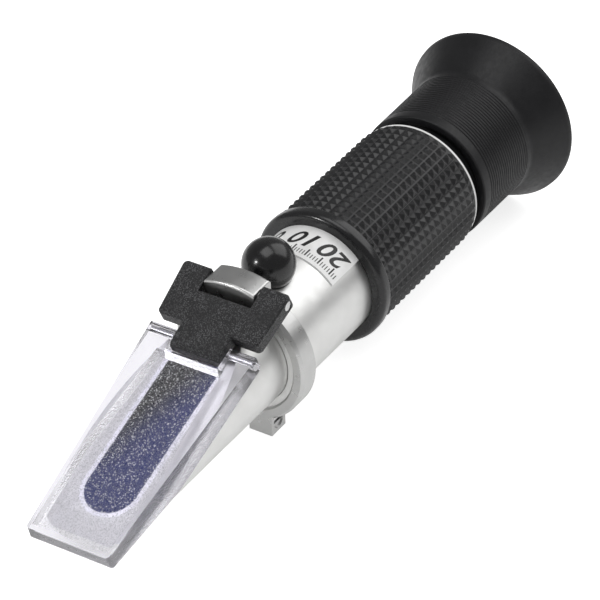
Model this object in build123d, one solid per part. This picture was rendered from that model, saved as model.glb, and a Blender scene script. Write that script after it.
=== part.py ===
from build123d import *
import math
import os

# Stations along the optical axis, measured from the front face of the clamp collar, eye side positive
COLLAR_WIDTH = 5.0
EXPOSED_TUBE = 24.9
GRIP_LENGTH = 38.1
END_RING_WIDTH = 0.5
FOCUS_GAP = 3.0
SLEEVE_LENGTH = 19.1
FLARE_LENGTH = 9.4

# Body tube: its bore and outside come from the cell and the reticle that it holds
TUBE_WALL = 1.3
TUBE_SETBACK = 0.6

# Clamp collar with the hinge lug on top and the screw ears beneath
COLLAR_WALL = 2.6
COLLAR_FACE_INSET = 0.6
COLLAR_BEVEL = 0.7
COLLAR_BORE_BEVEL = 0.35
EAR_WIDTH = 14.2
EAR_SLIT = 3.4
EAR_REACH = 5.0
EAR_SCREW_SET = 2.5
CLAMP_SCREW_OD = 2.0
CLAMP_HEAD_OD = 3.4
CLAMP_HEAD_HEIGHT = 1.6
CLAMP_HEAD_SINK = 0.3
SLOT_WIDTH = 0.7
LUG_AHEAD = 2.3
LUG_BEHIND = 3.9
LUG_WIDTH = 11.5
LUG_RISE = 6.4
LUG_EDGE_RADIUS = 0.6

# Prism housing: a bar cut by the slanted seat that carries the prism
HOUSING_REACH = 55.5
HOUSING_SPIGOT = 8.0
HOUSING_NOSE_BEVEL = 1.5
SEAT_SLOPE = 19.05
SEAT_FRONT_DROP = 7.15
LIGHT_BORE_OD = 11.0
PRISM_WIDTH = 11.2
PRISM_LENGTH = 34.4
PRISM_NOSE_WALL = 5.8
PRISM_FLOOR = 3.1
SEAL_WIDTH = 0.9
SEAL_DEPTH = 1.4

# Clear cover plate on its pin
PLATE_THICKNESS = 3.3
PLATE_SEAT_GAP = 0.2
PLATE_REAR_AHEAD = 11.7
PLATE_OVERHANG = 4.5
PLATE_REAR_WIDTH = 25.0
PLATE_KNEE_WIDTH = 24.9
PLATE_KNEE = 31.0
PLATE_TIP_WIDTH = 19.4
PLATE_TOP_INSET = 0.25
PLATE_TIP_RADIUS = 0.7
WELL_DEPTH = 1.6
WELL_REAR_RIM = 1.2
WELL_FRONT_RIM = 1.9
WELL_REAR_WIDTH = 13.8
WELL_WAIST = 14.0
WELL_WAIST_WIDTH = 14.6
WELL_KNEE_WIDTH = 17.2
WELL_TIP_WIDTH = 15.8
WELL_BEVEL = 0.8
NOTCH_CLEARANCE = 0.5
PLATE_PIN_OD = 1.6
PLATE_PIN_SET = 1.0
PLATE_PIN_INSET = 0.7
EAR_HEEL_RADIUS = 1.0

# Black hinge bracket between the lug and the plate
BRACKET_THICKNESS = 3.0
BRACKET_REAR_WIDTH = 24.8
BRACKET_FRONT_WIDTH = 23.4
BRACKET_TAIL = 1.75
BRACKET_WING = 10.85
STEM_WIDTH = 11.4
STEM_NOSE = 2.55
STEM_NOSE_BEVEL = 1.1
BARREL_WALL = 0.7
FRONT_PIN_DEPTH = 2.65
LUG_SIDE_GAP = 0.35
LUG_FRONT_GAP = 0.3
BRACKET_CORNER_RADIUS = 1.0
BRACKET_EDGE_BEVEL = 0.35
HINGE_SET = 2.3
HINGE_PIN_OD = 2.0
HINGE_PIN_INSET = 0.2

# Calibration screw under its rubber cap
CAL_STATION = 12.0
CAL_BUSH_OD = 5.2
CAL_BUSH_RISE = 1.8
CAL_SCREW_OD = 2.4
CAL_HEAD_OD = 3.6
CAL_HEAD_HEIGHT = 0.9
CAP_OD = 11.0
CAP_CENTRE_RISE = 2.5
CAP_CAVITY_ROOM = 0.8

# Objective cell and the temperature strip
CELL_OD = 20.8
CELL_LENGTH = 7.0
CELL_TRAVEL = 0.5
CELL_WALL = 2.9
OBJECTIVE_THICKNESS = 3.0
OBJECTIVE_CROWN = 0.8
CELL_LIP = 0.8
RETAINER_WIDTH = 1.3
STRIP_WIDTH = 6.0
STRIP_THICKNESS = 0.5
STRIP_LENGTH = 17.0
STRIP_WALL_GAP = 1.3
STRIP_OVERLAP = 2.2
ANCHOR_LENGTH = 5.0
STRIP_SCREW_OD = 2.0
STRIP_HEAD_OD = 3.8
STRIP_HEAD_HEIGHT = 1.3

# Baffle and reticle
BAFFLE_AHEAD = 12.0
BAFFLE_WIDTH = 1.5
BAFFLE_BORE = 12.0
RETICLE_OD = 19.2
RETICLE_HOLDER_WALL = 1.6
RETICLE_THICKNESS = 1.2
RETICLE_HOLDER_LENGTH = 6.0
RETICLE_LIP = 0.8

# Rubber grip
GRIP_WALL = 2.5
GRIP_LIP_RISE = 0.35
GRIP_LIP_LENGTH = 3.0
GRIP_LIP_RADIUS = 1.3
GRIP_STEP_RADIUS = 0.4
STUD_HEIGHT = 0.55
STUD_PITCH = 2.01
STUDS_ROUND = 44
STUD_LEAD = 0.28
STUD_PHASE = 43.1
END_RING_INSET = 0.5

# Label
LABEL_START = 19.7
LABEL_ANGLE = 100.0
LABEL_THICKNESS = 0.12

# Eyepiece: bush, sliding barrel with its lenses, and the turning ring with the eyecup
BUSH_SPIGOT = 10.0
BUSH_FLANGE_RISE = 0.7
BUSH_FLANGE_WIDTH = 1.2
BUSH_STEP = 1.0
BUSH_WALL = 1.0
BUSH_REAR_GAP = 0.4
FOCUS_TRAVEL = 2.25
BARREL_WALL_THICKNESS = 1.15
BARREL_FRONT_REACH = 2.8
BARREL_LIP = 1.0
BARREL_SHOULDER_STEP = 0.85
BARREL_SHOULDER_WIDTH = 1.2
FIELD_LENS_THICKNESS = 3.0
EYE_LENS_THICKNESS = 4.0
LENS_CROWN = 1.2
RING_WALL = 1.1
RING_FLANGE_WIDTH = 1.3
RING_SETBACK = 1.0
LOCK_RING_WALL = 1.35
LOCK_RING_WIDTH = 1.3
LOCK_RING_LIP = 0.5
LOCK_RING_REACH = 0.7
GUIDE_PIN_OD = 1.6
EYECUP_BAND_WALL = 1.45
EYECUP_BAND = 2.6
EYECUP_TAPER = 0.15
EYECUP_FLARE = 4.7
EYECUP_RIM_WIDTH = 1.0
EYECUP_WALL = 1.2
EYECUP_FLOOR_WIDTH = 1.5
EYECUP_GROOVE_COUNT = 20
EYECUP_GROOVE_DEPTH = 0.22
EYECUP_EDGE_BEVEL = 0.3

# Clearances
RUNNING_FIT = 0.05
LOOSE_FIT = 0.1
SIDE_GAP = 0.3
END_PLAY = 0.1

# Widths worked out from the sizes above, from the bore outwards
CELL_BORE_NEED = CELL_OD + 2 * (CELL_TRAVEL + SIDE_GAP)
RETICLE_BORE_NEED = RETICLE_OD + 2 * RETICLE_HOLDER_WALL
TUBE_BORE = max(CELL_BORE_NEED, RETICLE_BORE_NEED)
TUBE_OD = TUBE_BORE + 2 * TUBE_WALL
COLLAR_OD = TUBE_OD + 2 * COLLAR_WALL
COLLAR_FACE_OD = COLLAR_OD - 2 * COLLAR_FACE_INSET
EAR_FOOT_DEPTH = TUBE_OD / 2 + EAR_REACH
CLAMP_SCREW_DEPTH = EAR_FOOT_DEPTH - EAR_SCREW_SET
LUG_TOP_RADIUS = TUBE_OD / 2 + LUG_RISE
HINGE_HEIGHT = LUG_TOP_RADIUS - HINGE_SET
HOUSING_OD = TUBE_BORE - 2 * LOOSE_FIT
OBJECTIVE_OD = CELL_OD - 2 * CELL_WALL
STRIP_HEIGHT = TUBE_BORE / 2 - STRIP_WALL_GAP
GRIP_OD = TUBE_OD + 2 * GRIP_WALL
GRIP_LIP_OD = GRIP_OD + 2 * GRIP_LIP_RISE
END_RING_OD = GRIP_OD - 2 * END_RING_INSET
BUSH_FLANGE_OD = TUBE_OD + 2 * BUSH_FLANGE_RISE
BUSH_OD = TUBE_BORE + 2 * BUSH_STEP
BUSH_BORE = TUBE_BORE - 2 * BUSH_WALL
BARREL_OD = BUSH_BORE - 2 * RUNNING_FIT
BARREL_BORE = BARREL_OD - 2 * BARREL_WALL_THICKNESS
BARREL_SHOULDER_OD = BARREL_OD + 2 * BARREL_SHOULDER_STEP
LOCK_RING_OD = BARREL_OD + 2 * LOCK_RING_WALL
LOCK_RING_BORE = BARREL_BORE - 2 * LOCK_RING_REACH
RING_BORE = BUSH_OD + 2 * RUNNING_FIT
RING_OD = RING_BORE + 2 * RING_WALL
EYECUP_FRONT_OD = RING_OD + 2 * EYECUP_BAND_WALL
EYECUP_JUNCTION_OD = EYECUP_FRONT_OD + 2 * EYECUP_TAPER
EYECUP_RIM_OD = EYECUP_JUNCTION_OD + 2 * EYECUP_FLARE

# Stations worked out from the sizes above
GRIP_FRONT = COLLAR_WIDTH + EXPOSED_TUBE
GRIP_REAR = GRIP_FRONT + GRIP_LENGTH
TUBE_REAR = GRIP_REAR + END_RING_WIDTH
EYECUP_FRONT = TUBE_REAR + FOCUS_GAP
EYECUP_JUNCTION = EYECUP_FRONT + SLEEVE_LENGTH
EYECUP_RIM = EYECUP_JUNCTION + FLARE_LENGTH
SLOPE = math.radians(SEAT_SLOPE)
SEAT_PER_X = math.tan(SLOPE)
PLATE_TIP_X = -HOUSING_REACH - PLATE_OVERHANG


def seat_height(x):
    """Height of the prism seat above the optical axis at station x."""
    return -SEAT_FRONT_DROP + (x + HOUSING_REACH) * SEAT_PER_X


# The plate's own plane: origin at its top rear edge, first axis down the slope to the tip
PLATE_TOP_REAR_Z = seat_height(-PLATE_REAR_AHEAD) + (PLATE_SEAT_GAP + PLATE_THICKNESS) / math.cos(SLOPE)
PLATE_PLANE = Plane(
    origin=(-PLATE_REAR_AHEAD, 0, PLATE_TOP_REAR_Z),
    x_dir=(-math.cos(SLOPE), 0, -math.sin(SLOPE)),
    z_dir=(-math.sin(SLOPE), 0, math.cos(SLOPE)),
)
PLATE_LENGTH = (-PLATE_REAR_AHEAD - PLATE_TIP_X) / math.cos(SLOPE)
SEAT_DEPTH = PLATE_THICKNESS + PLATE_SEAT_GAP
PRISM_FRONT = -HOUSING_REACH + PRISM_NOSE_WALL
PRISM_BASE = -HOUSING_OD / 2 + PRISM_FLOOR
FRONT_PIN = PLATE_PLANE.from_local_coords(Vector(PLATE_PIN_SET, 0, -PLATE_THICKNESS / 2))

# The bracket's own plane: its top face clears both pins by their depths
REAR_PIN_DEPTH = BRACKET_THICKNESS / 2
PIN_RUN = -FRONT_PIN.X
PIN_DROP = HINGE_HEIGHT - FRONT_PIN.Z
PIN_DISTANCE = math.hypot(PIN_RUN, PIN_DROP)
TILT = math.atan2(PIN_DROP, PIN_RUN) - math.asin((FRONT_PIN_DEPTH - REAR_PIN_DEPTH) / PIN_DISTANCE)
PIN_SPACING = math.sqrt(PIN_DISTANCE**2 - (FRONT_PIN_DEPTH - REAR_PIN_DEPTH) ** 2)
BRACKET_PLANE = Plane(
    origin=(-REAR_PIN_DEPTH * math.sin(TILT), 0, HINGE_HEIGHT + REAR_PIN_DEPTH * math.cos(TILT)),
    x_dir=(-math.cos(TILT), 0, -math.sin(TILT)),
    z_dir=(-math.sin(TILT), 0, math.cos(TILT)),
)


def turned(points):
    """Solid of revolution about the optical axis from (station, radius) points."""
    return revolve(make_face(Polyline(*points, close=True)), axis=Axis.X)


def ring(x0, x1, inner, outer):
    """Plain ring between two stations, given by its radii."""
    return turned([(x0, inner), (x1, inner), (x1, outer), (x0, outer)])


def disc(x0, x1, radius):
    """Round bar on the optical axis."""
    return turned([(x0, 0), (x1, 0), (x1, radius), (x0, radius)])


def block(x0, x1, half_width, z0, z1):
    """Block centred on the plane of symmetry."""
    return Pos((x0 + x1) / 2, 0, (z0 + z1) / 2) * Box(x1 - x0, 2 * half_width, z1 - z0)


def cross_bar(x, z, radius, half_length):
    """Round bar across the object, along the hinge direction."""
    return Pos(x, 0, z) * Rot(90, 0, 0) * Cylinder(radius, 2 * half_length)


def upright(x, radius, z0, z1):
    """Upright round bar on the plane of symmetry."""
    return Pos(x, 0, (z0 + z1) / 2) * Cylinder(radius, z1 - z0)


def lens_sag(radius, crown, at_radius):
    """How far a spherical lens face falls back at a distance from the axis."""
    sphere = (radius**2 + crown**2) / (2 * crown)
    return sphere - math.sqrt(sphere**2 - at_radius**2)


def convex_lens(x0, x1, radius, crown):
    """Biconvex lens: two crowned faces and a ground edge."""
    sag = lens_sag(radius, crown, radius / 2)
    profile = [
        ThreePointArc((x0, 0), (x0 + sag, radius / 2), (x0 + crown, radius)),
        Line((x0 + crown, radius), (x1 - crown, radius)),
        ThreePointArc((x1 - crown, radius), (x1 - sag, radius / 2), (x1, 0)),
        Line((x1, 0), (x0, 0)),
    ]
    return revolve(make_face(profile), axis=Axis.X)


def mirrored_outline(points):
    """Closed outline from its (length, half width) points, mirrored across the centre line."""
    left = [(x, w) for x, w in points]
    right = [(x, -w) for x, w in reversed(points)]
    return make_face(Polyline(*left, *right, close=True))


def tongue(growth, bottom):
    """Upright tongue-shaped column under the seat: square rear end, round front end."""
    half = PRISM_WIDTH / 2 + growth
    front = PRISM_FRONT - growth
    rear = PRISM_FRONT + PRISM_LENGTH + growth
    outline = make_face(
        [
            Line((front + half, half), (rear, half)),
            Line((rear, half), (rear, -half)),
            Line((rear, -half), (front + half, -half)),
            ThreePointArc((front + half, -half), (front, 0), (front + half, half)),
        ]
    )
    column = Pos(0, 0, bottom) * extrude(outline, HOUSING_OD)
    return column - PLATE_PLANE * seat_slab(0, -HOUSING_OD)


def seat_slab(top, bottom):
    """Slab parallel to the seat, between two depths below it."""
    return block(-PLATE_LENGTH, 2 * PLATE_LENGTH, HOUSING_OD, -SEAT_DEPTH - top, -SEAT_DEPTH - bottom)


def main_tube():
    tube = ring(TUBE_SETBACK, TUBE_REAR, TUBE_BORE / 2, TUBE_OD / 2)
    return tube - upright(CAL_STATION, CAL_BUSH_OD / 2, 0, TUBE_OD)


def clamp_collar():
    bore = TUBE_OD / 2
    face = COLLAR_FACE_OD / 2
    outer = COLLAR_OD / 2
    body = turned(
        [
            (COLLAR_BORE_BEVEL, bore),
            (0, bore + COLLAR_BORE_BEVEL),
            (0, face),
            (COLLAR_BEVEL, outer),
            (COLLAR_WIDTH - COLLAR_BORE_BEVEL, outer),
            (COLLAR_WIDTH, outer - COLLAR_BORE_BEVEL),
            (COLLAR_WIDTH, bore),
        ]
    )
    lug_block = block(-LUG_AHEAD, LUG_BEHIND, LUG_WIDTH / 2, 0, TUBE_OD)
    lug = lug_block & disc(-LUG_AHEAD, LUG_BEHIND, LUG_TOP_RADIUS)
    lug = fillet(lug.faces().sort_by(Axis.Z)[-1].edges(), LUG_EDGE_RADIUS)
    ears = block(0, COLLAR_WIDTH, EAR_WIDTH / 2, -EAR_FOOT_DEPTH, -bore)
    body = body + ears + lug
    body -= disc(-LUG_AHEAD, COLLAR_WIDTH, bore)
    body -= block(0, COLLAR_WIDTH, EAR_SLIT / 2, -EAR_FOOT_DEPTH, 0)
    body -= cross_bar(0, HINGE_HEIGHT, HINGE_PIN_OD / 2, LUG_WIDTH)
    middle = COLLAR_WIDTH / 2
    body -= cross_bar(middle, -CLAMP_SCREW_DEPTH, CLAMP_SCREW_OD / 2, EAR_WIDTH)
    head_room = CLAMP_HEAD_HEIGHT + CLAMP_HEAD_SINK
    sink = Pos(middle, -EAR_WIDTH / 2 + head_room / 2, -CLAMP_SCREW_DEPTH) * Rot(90, 0, 0)
    return body - sink * Cylinder(CLAMP_HEAD_OD / 2, head_room)


def clamp_screw():
    head_top = EAR_WIDTH / 2 - CLAMP_HEAD_SINK
    head_base = head_top - CLAMP_HEAD_HEIGHT
    far_end = EAR_WIDTH / 2
    head = Pos(0, 0, (head_top + head_base) / 2) * Cylinder(CLAMP_HEAD_OD / 2, CLAMP_HEAD_HEIGHT)
    shank_length = head_base + far_end
    shank = Pos(0, 0, head_base - shank_length / 2) * Cylinder(CLAMP_SCREW_OD / 2, shank_length)
    slot = Pos(0, 0, head_top) * Box(CLAMP_HEAD_OD, SLOT_WIDTH, CLAMP_HEAD_HEIGHT)
    screw = head + shank - slot
    return Pos(COLLAR_WIDTH / 2, 0, -CLAMP_SCREW_DEPTH) * Rot(90, 0, 0) * screw


def hinge_pin():
    return cross_bar(0, HINGE_HEIGHT, HINGE_PIN_OD / 2, BRACKET_REAR_WIDTH / 2 - HINGE_PIN_INSET)


def prism_housing():
    radius = HOUSING_OD / 2
    bar = turned(
        [
            (-HOUSING_REACH, 0),
            (-HOUSING_REACH, radius - HOUSING_NOSE_BEVEL),
            (-HOUSING_REACH + HOUSING_NOSE_BEVEL, radius),
            (HOUSING_SPIGOT, radius),
            (HOUSING_SPIGOT, 0),
        ]
    )
    bar -= PLATE_PLANE * seat_slab(0, -HOUSING_OD)
    bar -= tongue(0, PRISM_BASE)
    bar -= prism_seal_space()
    prism_rear = PRISM_FRONT + PRISM_LENGTH
    return bar - disc(prism_rear, HOUSING_SPIGOT, LIGHT_BORE_OD / 2)


def prism_seal_space():
    return tongue(SEAL_WIDTH, -HOUSING_OD / 2) & (PLATE_PLANE * seat_slab(SEAL_DEPTH, 0))


def measuring_prism():
    return tongue(0, PRISM_BASE)


def prism_seal():
    return prism_seal_space() - measuring_prism()


def plate_outline(rear, knee, tip):
    return mirrored_outline([(0, rear / 2), (PLATE_KNEE, knee / 2), (PLATE_LENGTH, tip / 2)])


def plate_well(floor_growth):
    """Outline of the plate's well, grown sideways and lengthways by the bevel."""
    notch_end = notch_depth()
    rear = notch_end + WELL_REAR_RIM - floor_growth
    front = PLATE_LENGTH - WELL_FRONT_RIM + floor_growth
    return mirrored_outline(
        [
            (rear, WELL_REAR_WIDTH / 2 + floor_growth),
            (WELL_WAIST, WELL_WAIST_WIDTH / 2 + floor_growth),
            (PLATE_KNEE, WELL_KNEE_WIDTH / 2 + floor_growth),
            (front, WELL_TIP_WIDTH / 2 + floor_growth),
        ]
    )


def notch_depth():
    """Depth of the notch between the plate's ears, which clears the bracket's nose."""
    return PLATE_PIN_SET + STEM_NOSE + BRACKET_THICKNESS * math.sin(TILT - SLOPE) + 2 * NOTCH_CLEARANCE


def cover_plate():
    top_rear = PLATE_REAR_WIDTH - 2 * PLATE_TOP_INSET
    top_tip = PLATE_TIP_WIDTH - 2 * PLATE_TOP_INSET
    top_knee = top_rear + (top_tip - top_rear) * PLATE_KNEE / PLATE_LENGTH
    lower = plate_outline(PLATE_REAR_WIDTH, PLATE_KNEE_WIDTH, PLATE_TIP_WIDTH)
    upper = plate_outline(top_rear, top_knee, top_tip)
    plate = loft([Pos(0, 0, -PLATE_THICKNESS) * lower, upper], ruled=True)
    corners = [e for e in plate.edges() if e.center().X > PLATE_LENGTH - 1 and abs(e.center().Y) > 1]
    plate = fillet(corners, PLATE_TIP_RADIUS)
    heel = plate.edges().filter_by(Axis.Y).sort_by(Axis.X)[:2].sort_by(Axis.Z)[0]
    plate = fillet(heel, EAR_HEEL_RADIUS)
    floor = Pos(0, 0, -WELL_DEPTH) * plate_well(0)
    plate -= loft([floor, plate_well(WELL_BEVEL)], ruled=True)
    notch_half = STEM_WIDTH / 2 + NOTCH_CLEARANCE
    plate -= block(-PLATE_PIN_SET, notch_depth(), notch_half, -PLATE_THICKNESS, PLATE_THICKNESS)
    hole = PLATE_PIN_OD / 2 + RUNNING_FIT
    plate -= cross_bar(PLATE_PIN_SET, -PLATE_THICKNESS / 2, hole, PLATE_REAR_WIDTH)
    return PLATE_PLANE * plate


def plate_pin():
    pin = cross_bar(0, 0, PLATE_PIN_OD / 2, PLATE_REAR_WIDTH / 2 - PLATE_PIN_INSET)
    return Pos(FRONT_PIN.X, 0, FRONT_PIN.Z) * pin


def bracket_notch_depth():
    """Distance from the rear pin to the notch floor, which clears the lug at the lower edge."""
    lean = (BRACKET_THICKNESS - REAR_PIN_DEPTH) * math.sin(TILT)
    return (LUG_AHEAD + LUG_FRONT_GAP + lean) / math.cos(TILT)


def cover_bracket():
    notch_half = LUG_WIDTH / 2 + LUG_SIDE_GAP
    rear_half = BRACKET_REAR_WIDTH / 2
    wings = mirrored_outline([(-BRACKET_TAIL, rear_half), (BRACKET_WING, BRACKET_FRONT_WIDTH / 2)])
    stem = mirrored_outline([(0, STEM_WIDTH / 2), (PIN_SPACING + STEM_NOSE, STEM_WIDTH / 2)])
    notch = mirrored_outline([(-2 * BRACKET_TAIL, notch_half), (bracket_notch_depth(), notch_half)])
    outline = wings + stem - notch
    body = Pos(0, 0, -BRACKET_THICKNESS) * extrude(outline, BRACKET_THICKNESS)
    upright_edges = body.edges().filter_by(Axis.Z)
    outer_corners = [e for e in upright_edges if abs(e.center().Y) > BRACKET_FRONT_WIDTH / 2 - 1]
    body = fillet(outer_corners, BRACKET_CORNER_RADIUS)
    top_edges = body.faces().sort_by(Axis.Z)[-1].edges()
    nose = top_edges.filter_by(Axis.Y).sort_by(Axis.X)[-1]
    body = chamfer(nose, STEM_NOSE_BEVEL)
    top_edges = body.faces().filter_by(Axis.Z).sort_by(Axis.Z)[-1].edges()
    rim = [e for e in top_edges if e.center().X > BRACKET_TAIL or abs(e.center().Y) > notch_half + 0.1]
    rim = [e for e in rim if e.center().X < PIN_SPACING]
    body = chamfer(rim, BRACKET_EDGE_BEVEL)
    body += cross_bar(PIN_SPACING, -FRONT_PIN_DEPTH, PLATE_PIN_OD / 2 + BARREL_WALL, STEM_WIDTH / 2)
    body -= cross_bar(PIN_SPACING, -FRONT_PIN_DEPTH, PLATE_PIN_OD / 2, STEM_WIDTH)
    body -= cross_bar(0, -REAR_PIN_DEPTH, HINGE_PIN_OD / 2 + RUNNING_FIT, BRACKET_REAR_WIDTH)
    return BRACKET_PLANE * body


def label():
    outer = TUBE_OD / 2 + LABEL_THICKNESS
    skin = ring(LABEL_START, GRIP_FRONT, TUBE_OD / 2, outer)
    half_angle = math.radians(LABEL_ANGLE / 2)
    far = 2 * outer
    wedge_face = make_face(
        Polyline((0, 0), (far * math.sin(half_angle), far * math.cos(half_angle)),
                 (0, 2 * far), (-far * math.sin(half_angle), far * math.cos(half_angle)), close=True)
    )
    wedge = Plane.YZ * extrude(wedge_face, GRIP_FRONT)
    return skin & wedge


def grip_point(station, angle, radius):
    """Point on the grip, its angle counted from the top."""
    return (station, -radius * math.sin(angle), radius * math.cos(angle))


def stud_sides(station, angle):
    """The four sides of one stud, from its tip down to the grooves round it."""
    half_turn = math.pi / STUDS_ROUND
    root = GRIP_OD / 2 - STUD_HEIGHT
    tip = grip_point(station, angle, GRIP_OD / 2)
    corners = [
        grip_point(station - STUD_PITCH / 2, angle - half_turn, root),
        grip_point(station + STUD_PITCH / 2, angle - half_turn, root),
        grip_point(station + STUD_PITCH / 2, angle + half_turn, root),
        grip_point(station - STUD_PITCH / 2, angle + half_turn, root),
    ]
    return [Face(Wire.make_polygon([corners[i - 1], corners[i], tip])) for i in range(4)]


def studded_bar(start, end):
    """Bar covered with studs, in rings along it and in columns round it."""
    ring_count = math.ceil((end - start) / STUD_PITCH)
    turn = 2 * math.pi / STUDS_ROUND
    phase = math.radians(STUD_PHASE)
    root = GRIP_OD / 2 - STUD_HEIGHT
    faces = []
    for row in range(ring_count):
        for column in range(STUDS_ROUND):
            faces += stud_sides(start + (row + 0.5) * STUD_PITCH, phase + (column + 0.5) * turn)
    for station in (start, start + ring_count * STUD_PITCH):
        corners = [grip_point(station, phase + column * turn, root) for column in range(STUDS_ROUND)]
        faces.append(Face(Wire.make_polygon(corners)))
    return Solid(Shell(faces)) - disc(end, end + STUD_PITCH, GRIP_OD)


def grip_sleeve():
    lip = GRIP_LIP_OD / 2
    outer = GRIP_OD / 2
    inner = TUBE_OD / 2 + LABEL_THICKNESS
    lip_end = GRIP_FRONT + GRIP_LIP_LENGTH
    profile = make_face(
        Polyline((GRIP_FRONT, inner), (lip_end, inner), (lip_end, outer),
                 (lip_end, lip), (GRIP_FRONT, lip), close=True)
    )
    front_corner = profile.vertices().sort_by(Axis.X)[:2].sort_by(Axis.Y)[-1]
    profile = fillet(front_corner, GRIP_LIP_RADIUS)
    step = profile.vertices().sort_by(Axis.Y)[-1]
    profile = fillet(step, min(GRIP_STEP_RADIUS, 0.9 * (lip - outer)))
    studs = studded_bar(lip_end - STUD_LEAD, GRIP_REAR)
    return revolve(profile, axis=Axis.X) + (studs - disc(GRIP_FRONT, GRIP_REAR, inner))


def grip_end_ring():
    return ring(GRIP_REAR, TUBE_REAR, TUBE_OD / 2, END_RING_OD / 2)


def cal_bush_top():
    return TUBE_OD / 2 + CAL_BUSH_RISE


def cal_head_base():
    return cal_bush_top() - CAL_HEAD_HEIGHT - END_PLAY


def screw_bush():
    base = CELL_OD / 2 + CELL_TRAVEL + SIDE_GAP
    bush = upright(CAL_STATION, CAL_BUSH_OD / 2, base, cal_bush_top())
    bush -= upright(CAL_STATION, CAL_SCREW_OD / 2 + RUNNING_FIT, base, cal_bush_top())
    head_seat = cal_head_base() - END_PLAY
    return bush - upright(CAL_STATION, CAL_HEAD_OD / 2 + LOOSE_FIT, head_seat, cal_bush_top())


def calibration_screw():
    tip = OBJECTIVE_OD / 2 + CELL_TRAVEL + SIDE_GAP
    base = cal_head_base()
    head_top = base + CAL_HEAD_HEIGHT
    screw = upright(CAL_STATION, CAL_SCREW_OD / 2, tip, base)
    screw += upright(CAL_STATION, CAL_HEAD_OD / 2, base, head_top)
    slot = Pos(CAL_STATION, 0, head_top) * Box(CAL_HEAD_OD, SLOT_WIDTH, CAL_HEAD_HEIGHT)
    return screw - slot


def screw_cap():
    centre_z = TUBE_OD / 2 + CAP_CENTRE_RISE
    ball = Pos(CAL_STATION, 0, centre_z) * Sphere(CAP_OD / 2)
    ball -= disc(0, 2 * CAL_STATION, TUBE_OD / 2 + SIDE_GAP)
    return ball - upright(CAL_STATION, CAL_BUSH_OD / 2 + LOOSE_FIT, 0, cal_bush_top() + CAP_CAVITY_ROOM)


def cell_front():
    return CAL_STATION - CELL_LENGTH / 2


def objective_cell():
    front = cell_front()
    rear = front + CELL_LENGTH
    lens_seat = front + CELL_LIP
    cell = turned(
        [
            (front, OBJECTIVE_OD / 2 - CELL_LIP),
            (front, CELL_OD / 2),
            (rear, CELL_OD / 2),
            (rear, OBJECTIVE_OD / 2),
            (lens_seat, OBJECTIVE_OD / 2),
            (lens_seat, OBJECTIVE_OD / 2 - CELL_LIP),
        ]
    )
    cell -= upright(CAL_STATION, CAL_SCREW_OD / 2 + RUNNING_FIT, 0, CELL_OD)
    strip_room = STRIP_HEIGHT - STRIP_THICKNESS - CELL_TRAVEL - LOOSE_FIT
    notch_front = rear - STRIP_OVERLAP - SIDE_GAP
    return cell - block(notch_front, rear, STRIP_WIDTH / 2 + SIDE_GAP, -CELL_OD, -strip_room)


def objective_lens():
    seat = cell_front() + CELL_LIP
    return convex_lens(seat, seat + OBJECTIVE_THICKNESS, OBJECTIVE_OD / 2, OBJECTIVE_CROWN)


def objective_retaining_ring():
    inner = OBJECTIVE_OD / 2 - CELL_LIP
    sag = lens_sag(OBJECTIVE_OD / 2, OBJECTIVE_CROWN, inner)
    seat = cell_front() + CELL_LIP + OBJECTIVE_THICKNESS - sag
    return ring(seat, seat + RETAINER_WIDTH, inner, OBJECTIVE_OD / 2)


def strip_front():
    return cell_front() + CELL_LENGTH - STRIP_OVERLAP


def strip_screw_station():
    return strip_front() + STRIP_LENGTH - ANCHOR_LENGTH / 2


def bimetal_strip():
    front = strip_front()
    rear = front + STRIP_LENGTH
    strip = block(front, rear, STRIP_WIDTH / 2, -STRIP_HEIGHT, -STRIP_HEIGHT + STRIP_THICKNESS)
    return strip - upright(strip_screw_station(), STRIP_SCREW_OD / 2, -STRIP_HEIGHT, 0)


def strip_anchor():
    rear = strip_front() + STRIP_LENGTH
    pad = block(rear - ANCHOR_LENGTH, rear, STRIP_WIDTH / 2, -TUBE_BORE, -STRIP_HEIGHT)
    pad &= disc(rear - ANCHOR_LENGTH, rear, TUBE_BORE / 2)
    return pad - upright(strip_screw_station(), STRIP_SCREW_OD / 2, -TUBE_BORE, 0)


def strip_screw():
    top = -STRIP_HEIGHT + STRIP_THICKNESS
    x = strip_screw_station()
    screw = upright(x, STRIP_SCREW_OD / 2, -TUBE_BORE / 2 + STRIP_THICKNESS / 2, top)
    screw += upright(x, STRIP_HEAD_OD / 2, top, top + STRIP_HEAD_HEIGHT)
    return screw - Pos(x, 0, top + STRIP_HEAD_HEIGHT) * Box(STRIP_HEAD_OD, SLOT_WIDTH, STRIP_HEAD_HEIGHT)


def reticle_front():
    """Front end of the reticle holder, which stands against the eyepiece bush."""
    return TUBE_REAR - BUSH_SPIGOT - RETICLE_HOLDER_LENGTH


def reticle_seat():
    return reticle_front() + RETICLE_LIP


def baffle_ring():
    front = reticle_front() - BAFFLE_AHEAD
    return ring(front, front + BAFFLE_WIDTH, BAFFLE_BORE / 2, TUBE_BORE / 2)


def reticle_holder():
    rear = reticle_front() + RETICLE_HOLDER_LENGTH
    return turned(
        [
            (reticle_front(), RETICLE_OD / 2 - RETICLE_LIP),
            (reticle_front(), TUBE_BORE / 2),
            (rear, TUBE_BORE / 2),
            (rear, RETICLE_OD / 2),
            (reticle_seat(), RETICLE_OD / 2),
            (reticle_seat(), RETICLE_OD / 2 - RETICLE_LIP),
        ]
    )


def reticle_disc():
    return disc(reticle_seat(), reticle_seat() + RETICLE_THICKNESS, RETICLE_OD / 2)


def reticle_retaining_ring():
    start = reticle_seat() + RETICLE_THICKNESS
    return ring(start, start + RETAINER_WIDTH, RETICLE_OD / 2 - RETICLE_LIP, RETICLE_OD / 2)


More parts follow.
